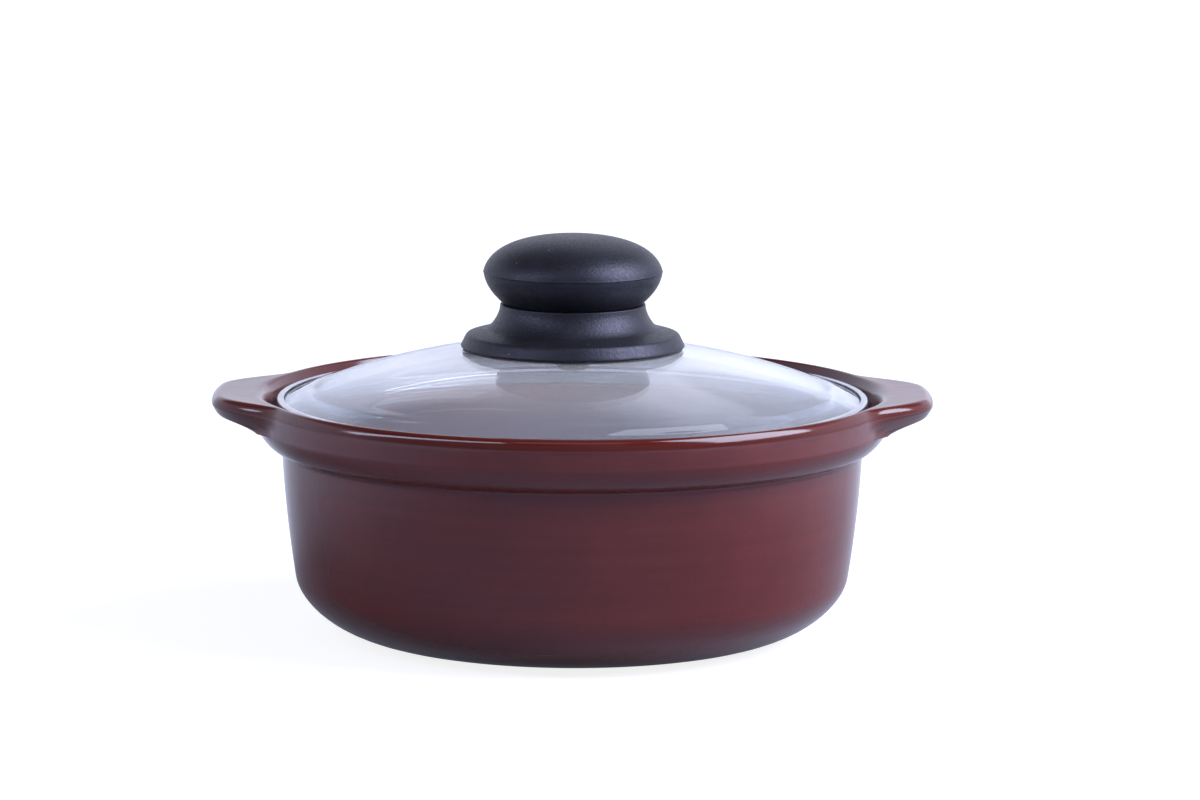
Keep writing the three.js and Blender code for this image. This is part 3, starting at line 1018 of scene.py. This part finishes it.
def rolled_metal(name, dark, bright, smoothest, roughest, depth):
    """Bare metal with the fine marks that turning or rolling leaves round it."""
    finish, tree, shader = start_finish(name)
    marks = use_group(tree, turned_marks)["Height"]
    stain = noise_of(tree, object_place(tree), 70, detail=4, roughness=0.6)
    set_named(
        tree,
        shader,
        Base_Color=blend_colours(tree, between(tree, stain, 0.35, 0.7), bright, dark),
        Metallic=1.0,
        Roughness=between(tree, marks, 0.3, 0.7, smoothest, roughest),
        Normal=bump_of(tree, marks, depth=depth, strength=0.5),
    )
    return finish


def knob_black():
    finish, tree, shader = start_finish("knob_black")
    grain = use_group(tree, moulded_grain, Grains_per_metre=1400, Drift_per_metre=70)
    dust = use_group(tree, settled_dust)["Mask"]
    deep_black, worn_black = (0.0065, 0.0065, 0.0088, 1), (0.0105, 0.0105, 0.0140, 1)
    black = blend_colours(tree, grain["Tone"], deep_black, worn_black)
    dust_grey = (0.20, 0.20, 0.21, 1)
    roughness = between(tree, grain["Height"], 0.3, 0.7, 0.36, 0.50)
    set_named(
        tree,
        shader,
        Base_Color=blend_colours(tree, dust, black, dust_grey),
        Roughness=math_of(tree, "ADD", roughness, scaled(tree, dust, 0.4)),
        IOR=1.5,
        Specular_IOR_Level=0.40,
        Specular_Tint=(0.72, 0.70, 1.0, 1),
        Normal=bump_of(tree, grain["Height"], depth=0.12, strength=1.0),
    )
    return finish


def soft_silicone():
    finish, tree, shader = start_finish("silicone")
    grain = use_group(tree, moulded_grain, Grains_per_metre=1600, Drift_per_metre=120)
    dark_grey, pale_grey = (0.032, 0.033, 0.035, 1), (0.047, 0.048, 0.050, 1)
    set_named(
        tree,
        shader,
        Base_Color=blend_colours(tree, grain["Tone"], dark_grey, pale_grey),
        Roughness=between(tree, grain["Height"], 0.3, 0.7, 0.62, 0.78),
        Normal=bump_of(tree, grain["Height"], depth=0.03, strength=0.5),
    )
    return finish


# Studio

def make_floor():
    """A pale floor that shows white to the camera, with a painted shade near the pan where the
    glaze mirrors it.
    """
    bpy.ops.object.select_all(action="DESELECT")
    bpy.ops.mesh.primitive_plane_add(size=60)
    floor = bpy.context.object
    floor.name = "floor"
    finish = bpy.data.materials.new("pale_floor")
    finish.use_nodes = True
    tree = finish.node_tree
    tree.nodes.clear()
    light_path = add(tree, "LightPath").outputs
    place = object_place(tree)
    away = add(tree, "VectorMath", {0: place}, operation="LENGTH").outputs["Value"]
    across, depth, _ = add(tree, "SeparateXYZ", {"Vector": place}).outputs
    # Painted shade: the floor's glow, as the glaze mirrors it, dims near the pan
    far = between(tree, away, 0.25, 1.6, 0.12, 1.0)
    beside = between(tree, math_of(tree, "ABSOLUTE", across), 0.13, 0.42, 0.12, 1.0)
    at_back = between(tree, depth, 0.0, 0.35, 0.12, 0.80)
    shaded_glow = math_of(tree, "MAXIMUM", far, math_of(tree, "MAXIMUM", beside, at_back))
    mirrored = scaled(tree, light_path["Is Glossy Ray"], shaded_glow)
    in_view = scaled(tree, light_path["Is Camera Ray"], between(tree, away, 0.4, 1.6, 1.0, 1.18))
    seen = math_of(tree, "MAXIMUM", in_view, math_of(
        tree, "MAXIMUM", mirrored, light_path["Is Transmission Ray"]
    ))
    paint = add(tree, "BsdfDiffuse", {"Color": (0.32, 0.34, 0.40, 1)})
    tint = blend_colours(tree, light_path["Is Camera Ray"], (0.76, 0.82, 1, 1), (1, 1, 1, 1))
    white = add(tree, "Emission", {"Color": tint, "Strength": scaled(tree, seen, 0.85)})
    both = add(tree, "AddShader", {0: paint.outputs["BSDF"], 1: white.outputs["Emission"]})
    leave = add(tree, "OutputMaterial")
    tree.links.new(both.outputs["Shader"], leave.inputs["Surface"])
    floor.data.materials.append(finish)


def make_surroundings():
    """A white studio, dark on the side where the camera stands."""
    world = bpy.data.worlds.new("studio")
    bpy.context.scene.world = world
    world.use_nodes = True
    tree = world.node_tree
    light_path = add(tree, "LightPath").outputs
    direction = add(tree, "TexCoord").outputs["Generated"]
    side, depth, up = add(tree, "SeparateXYZ", {"Vector": direction}).outputs

    # White walls below a dim ceiling, highest a little to the right of the middle
    rise = between(tree, side, -0.20, 0.18, 0.50, 0.70)
    fall = between(tree, side, 0.20, 0.36, 0, 0.20)
    edge = math_of(tree, "SUBTRACT", rise, fall)
    wall = between(tree, math_of(tree, "SUBTRACT", up, edge), -0.08, 0.10, 1.2, 0.22)

    # A brighter panel on the right, with a dim gap in it
    panel = between(tree, side, 0.06, 0.16, 1.0, 1.2)
    gap_place = (0.26, 0.88, 0.40)
    toward_gap = add(
        tree, "VectorMath", {0: direction, 1: gap_place}, operation="DOT_PRODUCT"
    ).outputs["Value"]
    gap = between(tree, toward_gap, 0.984, 0.991, 1.0, 0.68)
    behind = between(tree, depth, -0.55, 0.45, 0.28, 1.0)
    tent = scaled(tree, scaled(tree, wall, scaled(tree, panel, gap)), behind)

    mirrored = math_of(
        tree, "MAXIMUM", light_path["Is Glossy Ray"], light_path["Is Transmission Ray"]
    )
    reflected = scaled(tree, tent, between(tree, mirrored, 0, 1, 0.65, 1.0))
    background = tree.nodes["Background"]
    background.inputs["Color"].default_value = (0.78, 0.82, 1.0, 1)
    strength = math_of(tree, "MAXIMUM", reflected, light_path["Is Camera Ray"])
    tree.links.new(strength, background.inputs["Strength"])


def softbox(name, low_end, high_end, width, power, colour=(1, 1, 1)):
    """A lamp, in metres and watts, that runs from one end to the other and faces the pan."""
    pan_middle = Vector((0, 0, 0.06))
    low_end, high_end = Vector(low_end), Vector(high_end)
    place = (low_end + high_end) / 2
    along = high_end - low_end
    out = (place - pan_middle).normalized()
    across = along.cross(out).normalized()
    lamp = bpy.data.lights.new(name, "AREA")
    lamp.shape = "RECTANGLE"
    lamp.size = width
    lamp.size_y = along.length
    lamp.energy = power
    lamp.color = colour
    stand = bpy.data.objects.new(name, lamp)
    bpy.context.scene.collection.objects.link(stand)
    stand.location = place
    stand.rotation_euler = Matrix((across, out.cross(across), out)).transposed().to_euler()


def make_lights():
    cool = (0.82, 0.87, 1.0)
    softbox("key_right", (1.11, -0.33, 0.43), (0.58, -0.17, 1.08), 0.85, 29.0, cool)
    softbox("strip_left", (-1.16, -0.08, 0.35), (-0.44, -0.82, 0.85), 0.16, 5.0, cool)
    softbox("softbox_front", (0, -1.10, 1.15), (0, -0.80, 1.45), 0.9, 1.4, cool)
    softbox("ring_right", (0.036, 0.652, 1.379), (0.402, 0.927, 1.138), 0.05, 0.14, cool)
    softbox("streak_left", (-0.32, 1.30, 0.70), (-0.06, 1.27, 0.816), 0.012, 0.020)
    softbox("band_left", (-0.358, 1.236, 0.80), (-0.189, 1.15, 0.96), 0.057, 0.016, cool)
    softbox("line_left", (-0.449, 1.146, 0.885), (-0.118, 1.012, 1.113), 0.012, 0.003)


def make_camera():
    """A long lens a little above the rim, in front of the pan."""
    distance = 1.83
    elevation = math.radians(10.85)
    roll = math.radians(0.27)
    aim = Vector((0.00838, 0.01061, 0.06990))
    camera = bpy.data.cameras.new("camera")
    camera.lens = 180
    camera.sensor_width = 36
    camera.sensor_fit = "HORIZONTAL"
    camera.clip_end = 200
    stand = bpy.data.objects.new("camera", camera)
    bpy.context.scene.collection.objects.link(stand)
    stand.location = (0, -distance * math.cos(elevation), distance * math.sin(elevation))
    level = (aim - stand.location).to_track_quat("-Z", "Y")
    stand.rotation_euler = (level @ Quaternion((0, 0, 1), roll)).to_euler()
    bpy.context.scene.camera = stand


# Assembly

def fit(piece, node, body, finish):
    """Gives a piece its finish and puts it in the place of its CAD node."""
    piece.data.materials.clear()
    piece.data.materials.append(finish)
    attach(piece, body)
    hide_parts(node)


def dress_node(node, finish):
    """Gives a CAD node that stays in view its finish."""
    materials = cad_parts[node].data.materials
    materials.clear()
    materials.append(finish)


band_steel = rolled_metal(
    "band_steel",
    dark=(0.50, 0.50, 0.52, 1),
    bright=(0.62, 0.62, 0.65, 1),
    smoothest=0.14,
    roughest=0.26,
    depth=0.01,
)
fixing_steel = rolled_metal(
    "fixing_steel",
    dark=(0.45, 0.45, 0.46, 1),
    bright=(0.60, 0.60, 0.61, 1),
    smoothest=0.22,
    roughest=0.36,
    depth=0.02,
)
insert_brass = rolled_metal(
    "insert_brass",
    dark=(0.50, 0.31, 0.10, 1),
    bright=(0.66, 0.45, 0.17, 1),
    smoothest=0.24,
    roughest=0.40,
    depth=0.03,
)
black = knob_black()
silicone = soft_silicone()

fit(make_pot(), "pot_body", "pot", glazed_clay())
fit(make_lid_dome(), "lid_glass", "lid", lid_glass())
fit(make_lid_band(), "lid_rim_band", "lid", band_steel)
fit(make_grip(), "knob_grip", "lid", black)
fit(make_skirt(), "knob_skirt", "lid", black)
fit(make_screw(), "knob_screw", "lid", fixing_steel)
fit(make_washer(), "under_washer", "lid", fixing_steel)
fit(make_gasket(), "under_gasket", "lid", silicone)
fit(make_ring(), "skirt_ring", "lid", silicone)
dress_node("knob_insert", insert_brass)

make_floor()
make_surroundings()
make_lights()
make_camera()
bpy.context.scene.view_settings.view_transform = "Standard"
